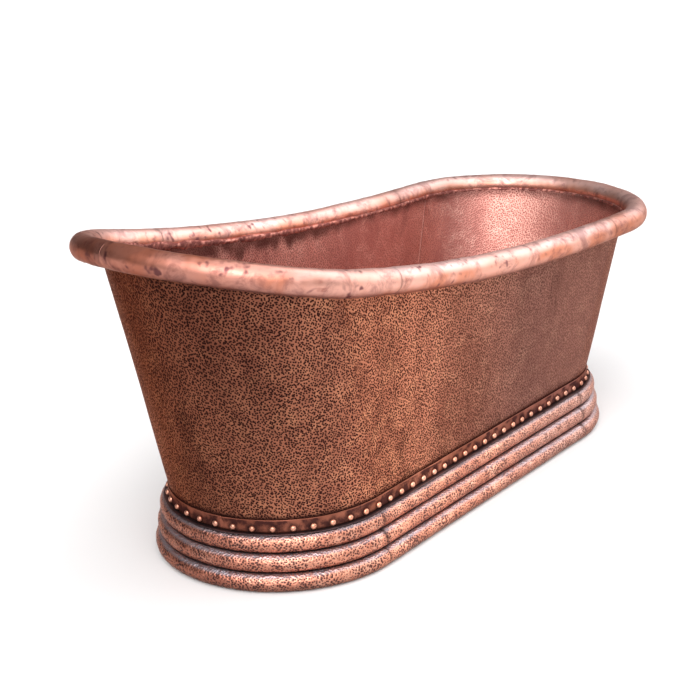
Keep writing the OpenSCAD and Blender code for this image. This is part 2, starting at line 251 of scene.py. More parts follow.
# ---------------- stations
def foot_place(s, r):
    """The centre that each station turns about and its outward direction, at a radius r."""
    q, st = PI * r / 2, STRAIGHT
    s = np.mod(np.asarray(s, float) + q, 4 * st + 4 * q) - q
    on = [s < q, s < q + 2 * st, s < 3 * q + 2 * st]
    x = np.select(on, [-st, s - q - st, st], 3 * q + 3 * st - s)
    angle = np.select(on, [PI + s / r, 1.5 * PI, 1.5 * PI + (s - q - 2 * st) / r], PI / 2)
    return x, angle


def foot_rows(s, r, out, z):
    """Points at offsets `out` from the foot's plan and heights z, for each station."""
    x, angle = foot_place(s, r)
    reach = FOOT_R + np.atleast_2d(out)
    shape = np.broadcast(s[:, None], reach).shape
    rows = np.empty(shape + (3,))
    rows[..., 0] = x[:, None] + np.cos(angle)[:, None] * reach
    rows[..., 1] = np.sin(angle)[:, None] * reach
    rows[..., 2] = np.atleast_2d(z)
    return rows


def foot_range(part, r):
    """Where a part starts and ends, as distances along the foot at radius r."""
    q, st = PI * r / 2, STRAIGHT
    return {
        "high_front": (0, q),
        "high_back": (-q, 0),
        "high_end": (-q, q),
        "front": (q, q + 2 * st),
        "low_front": (q + 2 * st, 2 * q + 2 * st),
        "low_back": (2 * q + 2 * st, 3 * q + 2 * st),
        "low_end": (q + 2 * st, 3 * q + 2 * st),
        "back": (3 * q + 2 * st, 3 * q + 4 * st),
    }[part]


def stations(start, end, pitch):
    """Even steps of about `pitch` from start to end."""
    return np.linspace(start, end, max(3, round((end - start) / pitch) + 1))


def plan(u, a, b, e):
    """The oval's plan at u, with half lengths a and b and rounded ends e long."""
    u = np.mod(u, 4.0)
    on = [u < 1, u < 2, u < 3]
    low, high = PI * u - PI / 2, PI * (u - 2)
    x_parts = [a - e + e * np.cos(low), (a - e) * (3 - 2 * u), e - a - e * np.sin(high)]
    x = np.select(on, x_parts, (a - e) * (2 * u - 7))
    y = np.select(on, [b * np.sin(low), b, b * np.cos(high)], -b)
    return x, y


def rim_height(x):
    """Height of the rim's centre line, which sweeps up to the raised end."""
    rise = np.maximum(0, (1 - x / RIM_A) / 2) ** RIM_SWEEP
    return RIM_LOW_Z + (RIM_HIGH_Z - RIM_LOW_Z) * rise


def rim_line(u):
    """Points of the rim's centre line."""
    x, y = plan(u, RIM_A, RIM_B, RIM_END)
    return np.stack([x, y, rim_height(x)], -1)


def rim_axes(u):
    """Along, out and up directions of the rim's centre line."""
    step = 0.002
    along = rim_line(u + step) - rim_line(u - step)
    out = np.stack([along[..., 1], -along[..., 0], np.zeros_like(u)], -1)
    out /= np.linalg.norm(out, axis=-1, keepdims=True)
    along /= np.linalg.norm(along, axis=-1, keepdims=True)
    up = np.cross(out, along)
    return along, out, up / np.linalg.norm(up, axis=-1, keepdims=True)


# The rim's length at finely spaced u, to find u from a distance
FINE_U = np.linspace(-1, 6, 14001)
FINE_STEPS = np.linalg.norm(np.diff(rim_line(FINE_U), axis=0), axis=1)
FINE_LENGTH = np.concatenate([[0], np.cumsum(FINE_STEPS)])


def rim_stations(start, end, pitch):
    """u at even distances along the rim, and those distances."""
    first, last = np.interp([start, end], FINE_U, FINE_LENGTH)
    length = stations(first, last, pitch)
    return np.interp(length, FINE_LENGTH, FINE_U), length


# ---------------- materials
# Where the copper darkens and changes tint towards each end, partly patina and partly painted shade
# and painted reflection tint: from x, to x, and the red, green and blue shares left
AGED_SHADED_HIGH = (-0.86, -0.42, 0.40, 0.31, 0.31)
AGED_SHADED_LOW = (0.0, 0.70, 0.72, 0.72, 0.72)
EDGE_TINT = (0.66, 0.41, 0.34, 1.0)  # copper's grazing reflections
COAT_ROUGH, COAT_IOR = 0.34, 1.55
HAMMERED_METALLIC = 0.92


class Nodes:
    """Short calls for adding nodes to one tree."""

    def __init__(self, tree):
        self.nodes, self.links = tree.nodes, tree.links

    def add(self, kind, inputs=None, **settings):
        node = self.nodes.new("ShaderNode" + kind)
        for key, value in settings.items():
            setattr(node, key, value)
        for key, value in (inputs or {}).items():
            self.put(node.inputs[key], value)
        return node

    def put(self, socket, value):
        """Links a socket, or sets it. A colour may be given without its alpha."""
        if isinstance(value, bpy.types.NodeSocket):
            self.links.new(value, socket)
        elif isinstance(value, tuple) and len(value) == 3:
            socket.default_value = value + (1.0,) * (len(socket.default_value) - 3)
        else:
            socket.default_value = value

    def math(self, operation, a, b):
        return self.add("Math", {0: a, 1: b}, operation=operation).outputs[0]

    def remap(self, value, low, high, to_low=0.0, to_high=1.0):
        inputs = {0: value, 1: low, 2: high, 3: to_low, 4: to_high}
        return self.add("MapRange", inputs, interpolation_type="SMOOTHSTEP").outputs[0]


class Tree(Nodes):
    """One material's nodes."""

    def __init__(self, name):
        self.material = bpy.data.materials.new(name)
        self.material.use_nodes = True
        super().__init__(self.material.node_tree)
        self.shader = self.nodes["Principled BSDF"]
        self.place = self.add("TexCoord").outputs["Object"]

    def along_tub(self):
        return self.add("SeparateXYZ", {0: self.place}).outputs["X"]

    def stretched(self, *scale):
        return self.add("Mapping", {"Vector": self.place, "Scale": scale}).outputs[0]

    def mix(self, factor, a, b, blend="MIX"):
        node = self.add("Mix", {0: factor, 6: a, 7: b}, data_type="RGBA", blend_type=blend)
        return node.outputs[2]

    def noise(self, size, detail=2.0, rough=0.5, warp=0.0, place=None):
        inputs = {
            "Vector": place or self.place,
            "Scale": 1 / size,
            "Detail": detail,
            "Roughness": rough,
            "Distortion": warp,
        }
        return self.add("TexNoise", inputs).outputs[0]

    def field(self, name):
        return self.add("Attribute", attribute_name=name).outputs["Fac"]

    def aged_and_shaded(self, colour, high, low):
        """Darkens and tints the colour towards both ends, as AGED_SHADED_HIGH and AGED_SHADED_LOW
        say: partly patina, partly painted shade and a painted tint of the reflections.
        """
        x = self.along_tub()
        tint = {}
        for k in range(3):
            raised = self.remap(x, high[0], high[1], high[2 + k], 1.0)
            tint[k] = self.math("MULTIPLY", raised, self.remap(x, low[0], low[1], 1.0, low[2 + k]))
        return self.mix(1.0, colour, self.add("CombineColor", tint).outputs[0], "MULTIPLY")

    def shifted(self, size, reach, place):
        """Coordinates pushed about by noise, so that cells aren't regular."""

        def vector(operation, inputs):
            return self.add("VectorMath", inputs, operation=operation).outputs[0]

        push = self.add("TexNoise", {"Vector": place, "Scale": 1 / size, "Detail": 1.0}).outputs[1]
        centred = vector("SUBTRACT", {0: push, 1: (0.5, 0.5, 0.5)})
        return vector("ADD", {0: place, 1: vector("SCALE", {0: centred, "Scale": reach})})

    def bump(self, height, distance, under=None):
        inputs = {"Height": height, "Distance": distance, "Strength": 1.0}
        if under is not None:
            inputs["Normal"] = under
        return self.add("Bump", inputs).outputs[0]

    def finish(self, colour, roughness, normal, metallic, coat=0.0):
        inputs = {"Base Color": colour, "Roughness": roughness, "Normal": normal}
        inputs.update({"Metallic": metallic, "Coat Weight": coat})
        inputs.update({"Coat Roughness": COAT_ROUGH, "Coat IOR": COAT_IOR})
        if metallic > 0.5:
            inputs["Specular Tint"] = EDGE_TINT
        for name, value in inputs.items():
            self.put(self.shader.inputs[name], value)
        return self.material


def hammered(
    name, pit, ridge, shade, glow, pitch, depth, rough,
    coat=0.0, cover=(0.26, 0.56), ragged=0.05, sheen_colour=None, fade=0.9,
    high=AGED_SHADED_HIGH, low=AGED_SHADED_LOW,
):
    """Sheet covered in small hammer marks that the mesh is too coarse to hold. The along and up
    fields are distances over the sheet, so the marks keep their size around its curves.

    pit is the colour of the marks and ridge, shade and glow those of the metal between them.
    cover is how far from a mark's middle its edge lies, in pitches, and ragged varies that. The
    marks lose `fade` of their contrast towards the low end. bloom is the colour of a painted pale
    reflection of the sky."""
    t = Tree(name)
    flat = t.add("CombineXYZ", {0: t.field("along"), 1: t.field("up")}).outputs[0]
    flat = t.add("Mapping", {"Vector": flat, "Rotation": (0.0, 0.0, 0.5)}).outputs[0]
    moved = t.shifted(pitch * 3.0, pitch * 0.6, flat)
    inputs = {"Vector": moved, "Scale": 1 / pitch, "Randomness": 0.8}
    near = t.add("TexVoronoi", inputs, voronoi_dimensions="2D").outputs["Distance"]
    force = t.noise(pitch * 4.5, 3.0, 0.6)
    relief = t.math("ADD", near, t.remap(force, 0.3, 0.7, -ragged, ragged))
    between = t.remap(relief, *cover)
    tall = t.stretched(1.0, 1.0, 0.45)
    cloud = t.noise(0.16, 4.0, 0.62, 0.6, tall)
    mottle = t.noise(0.045, 4.0, 0.65, 0.4)
    light = t.mix(t.remap(cloud, 0.32, 0.66), shade, ridge)
    light = t.mix(t.remap(mottle, 0.42, 0.80, 0.0, 0.75), light, glow)
    marks = t.mix(t.remap(t.along_tub(), -0.35, 0.5, 0.0, fade), pit, shade)
    colour = t.mix(between, marks, light)
    stain = t.remap(t.noise(0.10, 5.0, 0.7, 1.2, tall), 0.52, 0.80, 0.0, 0.55)
    colour = t.mix(stain, colour, pit)
    colour = t.aged_and_shaded(colour, high, low)
    # Painted reflection of the sky: the pale colour laid over the faces that the mesh's field marks
    if sheen_colour:
        colour = t.mix(t.field("worn"), colour, sheen_colour)
    # Darkens towards a deep copy of the pit colour where the mesh's field says: real stains, and
    # painted shade over the band, under the rim and in the creases
    colour = t.mix(t.field("soot"), colour, tuple(0.4 * c for c in pit))
    burnished = t.math("ADD", between, t.math("MULTIPLY", stain, -0.8))
    rough_map = t.remap(burnished, -0.3, 1.0, rough + 0.22, rough - 0.04)
    under = t.bump(t.noise(0.0016, 2.0, 0.6), 0.00006)
    normal = t.bump(relief, depth, under)
    return t.finish(colour, rough_map, normal, HAMMERED_METALLIC, coat)


def formed_copper(
    name, pit, ridge, shine, stain, pitch, rough, metallic=0.85, grain=0.00006, coat=0.0,
    speckle=0.9, dark_range=(0.62, 1.15), blotches=0.035, blotched=0.7,
    blotch_range=(0.54, 0.78), spotted=0.0, sheen_colour=None,
    high=AGED_SHADED_HIGH, low=AGED_SHADED_LOW,
):
    """Copper whose hammer marks are in the mesh: the pit field follows them. ridge and shine are
    the colours of the clean metal, stain that of blotches and of burnt spots, where spotted."""
    t = Tree(name)
    deep = t.field("pit")
    mottle = t.noise(blotches, 5.0, 0.68, 0.8)
    cloud = t.noise(0.14, 3.0, 0.55, 0.5)
    light = t.mix(t.remap(cloud, 0.35, 0.65), ridge, shine)
    speck = t.noise(pitch, 3.0, 0.7, 0.6)
    dark = t.remap(t.math("ADD", deep, t.math("MULTIPLY", speck, speckle)), *dark_range)
    colour = t.mix(dark, light, pit)
    # Painted highlight: the pale colour laid over the faces that the mesh's field marks
    if sheen_colour:
        colour = t.mix(t.field("worn"), colour, sheen_colour)
    blotch = t.remap(mottle, *blotch_range, 0.0, blotched)
    colour = t.mix(blotch, colour, stain)
    if spotted:
        # Clusters of small burnt spots
        where = t.remap(t.noise(0.08, 2.0, 0.5), 0.47, 0.57, 0.0, spotted)
        where = t.math("MULTIPLY", where, t.remap(t.along_tub(), -0.2, 0.3, 1.0, 0.45))
        spots = t.remap(t.noise(0.020, 1.0, 0.5), 0.55, 0.74)
        colour = t.mix(t.math("MULTIPLY", where, spots), colour, stain)
    colour = t.aged_and_shaded(colour, high, low)
    # Darkens towards a deep copy of the stain colour where the mesh's field says: real burns and
    # stains, and painted shade under the tube, at the band's foot and along the ledge
    colour = t.mix(t.field("soot"), colour, tuple(0.35 * c for c in stain))
    rough_map = t.remap(t.math("ADD", dark, blotch), 0.0, 1.4, rough, rough + 0.28)
    normal = t.bump(t.noise(0.0022, 3.0, 0.65), grain)
    return t.finish(colour, rough_map, normal, metallic, coat)


# The high and low tuples below darken and tint each finish towards the ends: partly patina, partly
# painted shade and painted reflection tint.
wall_outside = hammered(
    "wall_outside", (0.050, 0.015, 0.013), (0.64, 0.252, 0.150), (0.42, 0.158, 0.096),
    (0.86, 0.385, 0.215), 5.9 * MM, 0.9 * MM, 0.46, cover=(0.24, 0.52),
    high=(-0.86, -0.42, 0.23, 0.19, 0.19), low=(-0.5, 0.25, 0.45, 0.56, 0.76),
)
wall_inside = hammered(
    "wall_inside", (0.22, 0.076, 0.064), (0.70, 0.335, 0.275), (0.48, 0.195, 0.165),
    (0.84, 0.480, 0.400), 5.8 * MM, 0.45 * MM, 0.47, cover=(0.14, 0.46),
    low=(0.0, 0.70, 0.80, 0.80, 0.80),
)
pan_copper = hammered(
    "pan_copper", (0.250, 0.080, 0.064), (0.70, 0.310, 0.240), (0.48, 0.185, 0.150),
    (0.80, 0.420, 0.330), 6.5 * MM, 0.5 * MM, 0.45,
)
roll_copper = hammered(
    "roll_copper", (0.110, 0.035, 0.028), (0.86, 0.375, 0.240), (0.60, 0.230, 0.145),
    (0.98, 0.560, 0.400), 6.4 * MM, 1.1 * MM, 0.36, coat=0.35, cover=(0.18, 0.47), ragged=0.15,
    sheen_colour=(0.44, 0.41, 0.46), fade=0.35, low=(-0.2, 0.5, 0.72, 0.87, 1.05),
)
rim_copper = formed_copper(
    "rim_copper", (0.34, 0.120, 0.090), (0.74, 0.300, 0.190), (0.86, 0.470, 0.375),
    (0.20, 0.080, 0.088), 30 * MM, 0.40, metallic=0.95, grain=0.00004, coat=0.1,
    speckle=1.1, dark_range=(0.95, 1.7), blotches=0.060, blotched=0.50,
    blotch_range=(0.45, 0.66), spotted=0.95, sheen_colour=(0.95, 0.75, 0.74),
    high=(-0.94, -0.50, 0.52, 0.42, 0.40),
)
band_copper = formed_copper(
    "band_copper", (0.080, 0.028, 0.024), (0.26, 0.092, 0.058), (0.40, 0.150, 0.095),
    (0.060, 0.024, 0.024), 9 * MM, 0.36, low=(-0.3, 0.5, 0.60, 0.66, 0.85),
)
rivet_copper = formed_copper(
    "rivet_copper", (0.46, 0.18, 0.11), (0.76, 0.34, 0.21), (0.84, 0.44, 0.30),
    (0.42, 0.15, 0.09), 5 * MM, 0.28, grain=0.00003, coat=0.5, low=(-0.2, 0.6, 0.60, 0.56, 0.58),
)
# The ledge's near-black, blue-grey colours are painted shade and a painted dark reflection of the
# band above
ledge_copper = formed_copper(
    "ledge_copper", (0.040, 0.032, 0.038), (0.110, 0.080, 0.086), (0.19, 0.135, 0.135),
    (0.036, 0.028, 0.034), 8 * MM, 0.36,
)
braze_copper = formed_copper(
    "braze_copper", (0.24, 0.080, 0.070), (0.52, 0.200, 0.155), (0.66, 0.30, 0.24),
    (0.13, 0.044, 0.046), 6 * MM, 0.44, grain=0.00015,
)
waste_copper = formed_copper(
    "waste_copper", (0.22, 0.075, 0.055), (0.52, 0.21, 0.135), (0.66, 0.30, 0.20),
    (0.16, 0.058, 0.046), 4 * MM, 0.28, grain=0.00003,
)


def painted_steel():
    t = Tree("painted_steel")
    chips = t.remap(t.noise(0.012, 6.0, 0.75), 0.66, 0.72)
    dust = t.remap(t.noise(0.09, 4.0, 0.6), 0.4, 0.8, 0.0, 0.35)
    colour = t.mix(dust, (0.022, 0.023, 0.025), (0.10, 0.095, 0.085))
    colour = t.mix(chips, colour, (0.20, 0.10, 0.06))
    normal = t.bump(t.noise(0.003, 3.0, 0.6), 0.0001)
    return t.finish(colour, t.remap(dust, 0.0, 0.35, 0.38, 0.6), normal, 0.0)


def sawn_timber():
    t = Tree("sawn_timber")
    stretch = t.stretched(1.0, 0.06, 1.0)
    grain = t.noise(0.006, 5.0, 0.6, 1.5, stretch)
    rings = t.noise(0.03, 2.0, 0.5, 2.0, stretch)
    colour = t.mix(t.remap(grain, 0.35, 0.7), (0.42, 0.25, 0.12), (0.24, 0.125, 0.055))
    colour = t.mix(t.remap(rings, 0.4, 0.65, 0.0, 0.6), colour, (0.50, 0.33, 0.17))
    normal = t.bump(grain, 0.0006)
    return t.finish(colour, t.remap(grain, 0.3, 0.7, 0.6, 0.85), normal, 0.0)


def zinc_steel():
    t = Tree("zinc_steel")
    spangle = t.add("TexVoronoi", {"Vector": t.place, "Scale": 260.0}).outputs["Color"]
    tone = t.add("SeparateColor", {0: spangle}).outputs[0]
    colour = t.mix(tone, (0.42, 0.43, 0.44), (0.66, 0.67, 0.69))
    dirt = t.remap(t.noise(0.02, 4.0, 0.6), 0.5, 0.8, 0.0, 0.5)
    colour = t.mix(dirt, colour, (0.30, 0.28, 0.25))
    normal = t.bump(t.noise(0.001, 2.0, 0.5), 0.00003)
    return t.finish(colour, t.remap(tone, 0.0, 1.0, 0.28, 0.42), normal, 1.0)


def moulded(name, tone, worn, size):
    t = Tree(name)
    dust = t.remap(t.noise(size, 5.0, 0.65), 0.42, 0.75)
    colour = t.mix(dust, tone, worn)
    normal = t.bump(t.noise(0.0012, 3.0, 0.6), 0.00012)
    return t.finish(colour, t.remap(dust, 0.0, 1.0, 0.55, 0.8), normal, 0.0)


steel_paint, timber, zinc = painted_steel(), sawn_timber(), zinc_steel()
rubber = moulded("rubber", (0.018, 0.018, 0.019), (0.06, 0.057, 0.052), 0.02)
fibre = moulded("fibre", (0.16, 0.045, 0.025), (0.26, 0.10, 0.06), 0.006)


# ---------------- wall sheets
def wall_points(u, z_share, inset):
    """Points of the wall above the band: u by share of the way up by 3."""
    foot = plan(u, FOOT_R + STRAIGHT - inset, FOOT_R - inset, FOOT_R - inset)
    d = WALL_OUT + inset
    top = plan(u, RIM_A - d, RIM_B - d, RIM_END - d)
    top_z = rim_height(plan(u, RIM_A, RIM_B, RIM_END)[0]) - WALL_DROP
    v = np.atleast_2d(z_share)
    rows = np.empty((len(u), v.shape[1], 3))
    for axis in (0, 1):
        rows[..., axis] = foot[axis][:, None] * (1 - v) + top[axis][:, None] * v
    rows[..., 2] = BAND_TOP + (top_z[:, None] - BAND_TOP) * v
    return rows


WALL_GRID = 4.5 * MM
INNER_GRID = 7.5 * MM
WALL_GIRTH = 0.93  # the wall's girth at mid height, as a share of the rim's


def wall_sheet(node, start, end):
    """One sheet of the wall, from its skirt behind the band to its top edge and back inside."""
    u, length = rim_stations(start, end, WALL_GRID * 1.08)
    height = rim_line(np.array([(start + end) / 2]))[0, 2] - BAND_TOP
    _, out, _ = rim_axes(u)
    up = np.linspace(0, 1, round(height / WALL_GRID))
    down = np.linspace(1, 0, round(height / INNER_GRID))

    def rippled(share, inset):
        """The sheet out of true: nothing behind the band, little under the rim."""
        true = wall_points(u, share, 0)
        hold = smooth(share, 0.0, 0.08) * (1 - 0.7 * smooth(share, 0.93, 1.0))
        wave = 1.1 * noise(true, 0.24, 5) + 0.55 * noise(true, 0.085, 6)
        wave += 0.16 * noise(true, 0.026, 7)
        return wall_points(u, share, inset) + out[:, None, :] * (MM * wave * hold)[..., None]

    def skirt(inset, z):
        x, y = plan(u, FOOT_R + STRAIGHT - inset, FOOT_R - inset, FOOT_R - inset)
        rows = np.empty((len(u), len(z), 3))
        rows[..., 0], rows[..., 1], rows[..., 2] = x[:, None], y[:, None], z
        return rows

    low = np.linspace(WALL_LOW, BAND_TOP, 4)[:-1]
    rows = [skirt(0, low), rippled(up, 0), rippled(down, SHEET), skirt(SHEET, low[::-1])]
    rows = np.concatenate(rows, 1)
    column = np.arange(rows.shape[1])
    outside = len(low) + len(up)
    # Painted shade: the sheet is darker just over the band and under the rim, where each shades it
    z = rows[..., 2]
    share = (z - BAND_TOP) / (rim_height(rows[..., 0]) - BAND_TOP)
    ragged = 0.5 + 0.5 * noise(rows, 0.03, 11)
    above = z - BAND_TOP
    soot = 0.95 * (1 - smooth(above, 3 * MM, 9 * MM))
    soot = np.maximum(soot, 0.5 * (1 - smooth(above, 0, 12 * MM + 22 * MM * ragged)))
    soot = np.maximum(soot, 0.65 * smooth(share + 0.03 * ragged, 0.93, 1.0))
    flow = 0.5 + 0.5 * noise(rows * (1, 1, 0.18), 0.028, 12)
    # Inside, flux from the brazing has run down from the rim, most of all by the raised end
    reach = 0.10 * smooth(-rows[..., 0], -0.35, 0.55) + 0.035
    drip = smooth(share + reach * (flow**2 + 0.5 * ragged), 0.925, 1.0) * (0.65 + 0.3 * ragged)
    soot = np.where(column >= outside, np.maximum(0.6 * soot, drip), soot)
    tags = (column >= outside - 1).astype(int)
    fields = {"soot": soot, "along": length[:, None] * WALL_GIRTH, "up": z}
    piece = sweep(node + "_sheet", rows, [wall_outside, wall_inside], fields, tags)
    own(piece, [node])


wall_sheet("side_panel_front", 3, 4)
wall_sheet("side_panel_back", 1, 2)
wall_sheet("end_panel_high", 2, 3)
wall_sheet("end_panel_low", 0, 1)


# ---------------- rim
RIM_GRID = 4 * MM
RIM_SIDES = 48
RIM_FLATS = 21 * MM  # pitch of the flats left by the hammer


def near_seam(gap, width):
    """1 at a seam, falling away over about `width` on each side."""
    return np.exp(-((gap / width) ** 2))


def seam_gap(length):
    """Each station's distance to the nearer end of its piece, as a column."""
    return np.minimum(length - length[0], length[-1] - length)[:, None]


def rim_piece(node, start, end):
    """A length of hand-dressed tube between two brazed seams."""
    u, length = rim_stations(start, end, RIM_GRID)
    around = circle(RIM_SIDES)
    _, out, up = (axis[:, None, :] for axis in rim_axes(u))
    radial = np.cos(around)[None, :, None] * out + np.sin(around)[None, :, None] * up
    centre = rim_line(u)[:, None, :]
    t = RIM_R * (around[None, :] - PI / 2)
    near, force = dimples(length[:, None], t, RIM_FLATS, 31)
    flats = np.minimum(near, 0.8) ** 2
    base = centre + radial * RIM_R
    lumps = 0.75 * noise(base, 0.045, 32) + 1.0 * noise(base, 0.13, 33)
    # The seams are slightly pinched
    gap = seam_gap(length)
    pinch = near_seam(gap, 2.2 * MM) * 0.55 + near_seam(gap, 14 * MM) * 0.35
    reach = RIM_R + MM * (0.8 * (flats - 0.35) * (0.5 + force) + lumps - 0.25 - pinch)
    rows = centre + radial * reach[..., None]
    pit = np.clip(0.75 - 1.5 * flats, 0, 1) * force
    burn = near_seam(gap, 26 * MM) * (0.5 + 0.5 * noise(base, 0.02, 34))
    soot = np.clip(0.3 * near_seam(gap, 3.5 * MM) + 0.3 * burn, 0, 0.85)
    # Painted shade: the tube is darker underneath, most of all where it faces the wall
    down, outward = -radial[..., 2], (radial * out).sum(-1)
    soot = np.maximum(soot, 0.7 * smooth(down - 0.3 * outward, 0.82, 1.1))
    soot = np.maximum(soot, 0.5 * smooth(down, 0.0, 0.95))
    # Painted highlight: the top of the tube is paler, where it faces the light from above
    pale = smooth(radial[..., 2] + 0.15 * noise(base, 0.05, 36), 0.15, 0.85)
    pale = pale * (0.50 + 0.30 * noise(base, 0.09, 37)) * smooth(centre[..., 0], -0.90, -0.66)
    if node == "rim_high_back":
        # The raised end's tip is burnt
        burnt = 0.5 * smooth(u, 2.1, 2.4)[:, None]
        soot = np.maximum(soot, burnt * (0.8 + 0.2 * noise(base, 0.02, 35)))
    fields = {"pit": pit, "soot": soot, "worn": pale}
    own(sweep(node + "_tube", rows, [rim_copper], fields), [node])


for rim_node, (seam_start, seam_end) in RIM_SEAMS.items():
    rim_piece(rim_node, seam_start, seam_end)


BEAD_SIDES = 12
BEAD_IN = 31.5 * MM  # from the rim's centre line in to the bead's
BEAD_DOWN = 9 * MM


def braze_bead(name, start, end):
    """The lumpy filler that joins the sheet's top edge to the tube, thickest by the raised end."""
    u, _ = rim_stations(start, end, RIM_GRID)
    around = circle(BEAD_SIDES)
    _, out, up = (axis[:, None, :] for axis in rim_axes(u))
    centre = rim_line(u)[:, None, :]
    raised = smooth(-centre[..., 0], -0.3, 0.45)
    wide = 3.2 * MM + (0.8 + 1.4 * raised) * MM * (1 + noise(centre, 0.020, 41))
    tall = 5.4 * MM + (1.2 + 3.2 * raised) * MM * (1 + noise(centre, 0.034, 42))
    middle = centre - out * BEAD_IN - up * BEAD_DOWN
    rows = middle + np.cos(around)[None, :, None] * out * wide[..., None]
    rows = rows + np.sin(around)[None, :, None] * up * tall[..., None]
    rows = rows + out * (1.1 * MM * noise(rows, 0.007, 43))[..., None]
    soot = np.clip((0.15 + 0.45 * noise(rows, 0.03, 44)) * (0.2 + 0.8 * raised), 0, 0.8)
    pit = 0.5 + 0.5 * noise(rows, 0.006, 45)
    own(sweep(name, rows, [braze_copper], {"soot": soot, "pit": pit}))


braze_bead("rim_braze_front", 2.5, 4.5)
braze_bead("rim_braze_back", 0.5, 2.5)


# ---------------- plinth rolls
ROLL_GRID = 2.5 * MM
ROLL_PITCH = 13 * MM
ROLL_DEPTH = 0.8 * MM
TOP, BOTTOM = 0, 2


def roll_piece(node, index, part):
    """A half-round roll with its hammer marks, and the flanges it is joined by. The rolls count
    down from the top one, 0."""
    crest = ROLL_TOP_OUT + index * ROLL_STEP
    r = FOOT_R + crest + ROLL_R
    s = stations(*foot_range(part, r), ROLL_GRID)
    arc = np.linspace(-PI / 2, PI / 2, 29)
    back = np.linspace(PI / 2, -PI / 2, 8)
    flange = ROLL_TOP_OUT - 0.5 * MM if index == TOP else ROLL_FLANGE
    within = ROLL_R - ROLL_T
    turn = [arc, [PI / 2] * 2, back, [-PI / 2] * 2]
    inward = [0 * arc, [flange] * 2, 0 * back, [ROLL_FLANGE] * 2]
    radius = [np.full_like(arc, ROLL_R), [ROLL_R, within], np.full_like(back, within)]
    radius += [[within, ROLL_R]]
    turn, inward, radius = (np.concatenate(k) for k in (turn, inward, radius))
    # Only the roll's face is dented: its back and flanges stay true
    face = np.arange(len(turn)) < len(arc)
    hold = np.where(face, np.clip(np.cos(turn), 0, 1) ** 0.45, 0)
    t = ROLL_R * turn[None, :] + 0.4 * index
    near, force = dimples(s[:, None], t, ROLL_PITCH, 51)
    bowl = np.minimum(near, 0.78) ** 2 / 0.5
    out = crest + radius * np.cos(turn) - inward
    z = PLINTH_TOP - (index + 0.5) * ROLL_D + radius * np.sin(turn)
    plain = foot_rows(s, r, out, z)
    lump = 0.45 * noise(plain, 0.05, 52) + 0.5 * noise(plain, 0.16, 53)
    push = (ROLL_DEPTH * np.minimum(bowl - 1, 0.1) * (0.45 + force) + MM * (lump - 0.2)) * hold
    rows = foot_rows(s, r, out + push * np.cos(turn), z + push * np.sin(turn))
    # Painted shade: the dark of the creases reaches far up each roll's underside and little over
    # its top
    below, above = 1 - smooth(np.cos(turn), 0.06, 0.97), 1 - smooth(np.cos(turn), 0.10, 0.24)
    crease = np.where(turn < 0, below, 0.9 * above)
    soot = 0.85 * crease * (0.75 + 0.25 * noise(plain, 0.02, 54))
    # Heat-darkened patches at the joints between the straight and the bent lengths
    gap = seam_gap(s)
    patch = near_seam(gap, 9 * MM) * (0.45 + 0.55 * noise(plain, 0.014, 55 + index))
    soot = np.clip(np.maximum(soot, 0.95 * patch) + 0.6 * near_seam(gap, 1.2 * MM), 0, 0.9)
    # A painted pale reflection of the sky on the upper faces, next to the creases
    sky_sheen = smooth(np.sin(turn), 0.60, 0.88) * (0.62 + 0.30 * noise(plain, 0.05, 58))
    # Painted shade: the bottom roll is darker on its lower half, and the top roll along its top,
    # under the ledge
    if index == BOTTOM:
        soot = np.maximum(soot, 0.46 * smooth(-np.sin(turn), -0.3, 0.5))
    if index == TOP:
        soot = np.maximum(soot, 0.5 * smooth(np.sin(turn), 0.70, 0.90))
    fields = {"soot": soot, "along": s[:, None] + 3 * index, "up": t, "worn": sky_sheen}
    own(sweep(node + "_formed", rows, [roll_copper], fields), [node])


for roll_part in ("front", "back", "high_front", "high_back", "low_front", "low_back"):
    roll_piece("top_roll_" + roll_part, TOP, roll_part)
for roll_index, roll_name in ((1, "middle_roll_"), (BOTTOM, "bottom_roll_")):
    for roll_part in ("front", "back", "high_end", "low_end"):
        roll_piece(roll_name + roll_part, roll_index, roll_part)


# ---------------- ledge, band and rivets
CORNER_POINTS = 3
LEDGE_GAP = 0.3 * MM  # from the wall to the ledge's inner edge


def rounded(width, height, edge):
    """A rectangle's outline with rounded corners, from its lower inner corner, anticlockwise."""
    corners = [(edge, edge, PI), (width - edge, edge, 1.5 * PI)]
    corners += [(width - edge, height - edge, 0), (edge, height - edge, PI / 2)]
    turn = np.linspace(0, PI / 2, CORNER_POINTS)
    arcs = [(x + edge * np.cos(a + turn), y + edge * np.sin(a + turn)) for x, y, a in corners]
    return np.concatenate([np.stack(arc, -1) for arc in arcs])


def ledge_piece(node, part):
    """A length of the flat strip between the band and the plinth, its outer edge uneven."""
    r = FOOT_R + LEDGE_OUT
    s = stations(*foot_range(part, r), 4 * MM)
    outline = rounded(LEDGE_OUT - LEDGE_GAP, LEDGE_T, 0.5 * MM)
    out, z = outline[:, 0] + LEDGE_GAP, outline[:, 1] + PLINTH_TOP
    plain = foot_rows(s, r, out, z)
    edge = smooth(out, 0.6 * LEDGE_OUT, LEDGE_OUT)
    wave = edge * 0.9 * MM * noise(plain, 0.06, 61) + edge * 0.35 * MM * noise(plain, 0.015, 62)
    rows = foot_rows(s, r, out + wave, z + 0.3 * MM * noise(plain, 0.02, 63) * edge)
    # Painted shade: the strip is darker at its inner edge, under the band
    soot = 0.6 * (1 - smooth(out, 3 * MM, 9 * MM))
    pit = np.clip(0.5 * noise(plain, 0.012, 64), 0, 1)
    piece = sweep(node + "_strip", rows, [ledge_copper], {"pit": pit, "soot": soot})
    own(piece, [node])


for ledge_part in ("front", "back", "high_end", "low_end"):
    ledge_piece("ledge_" + ledge_part, ledge_part)

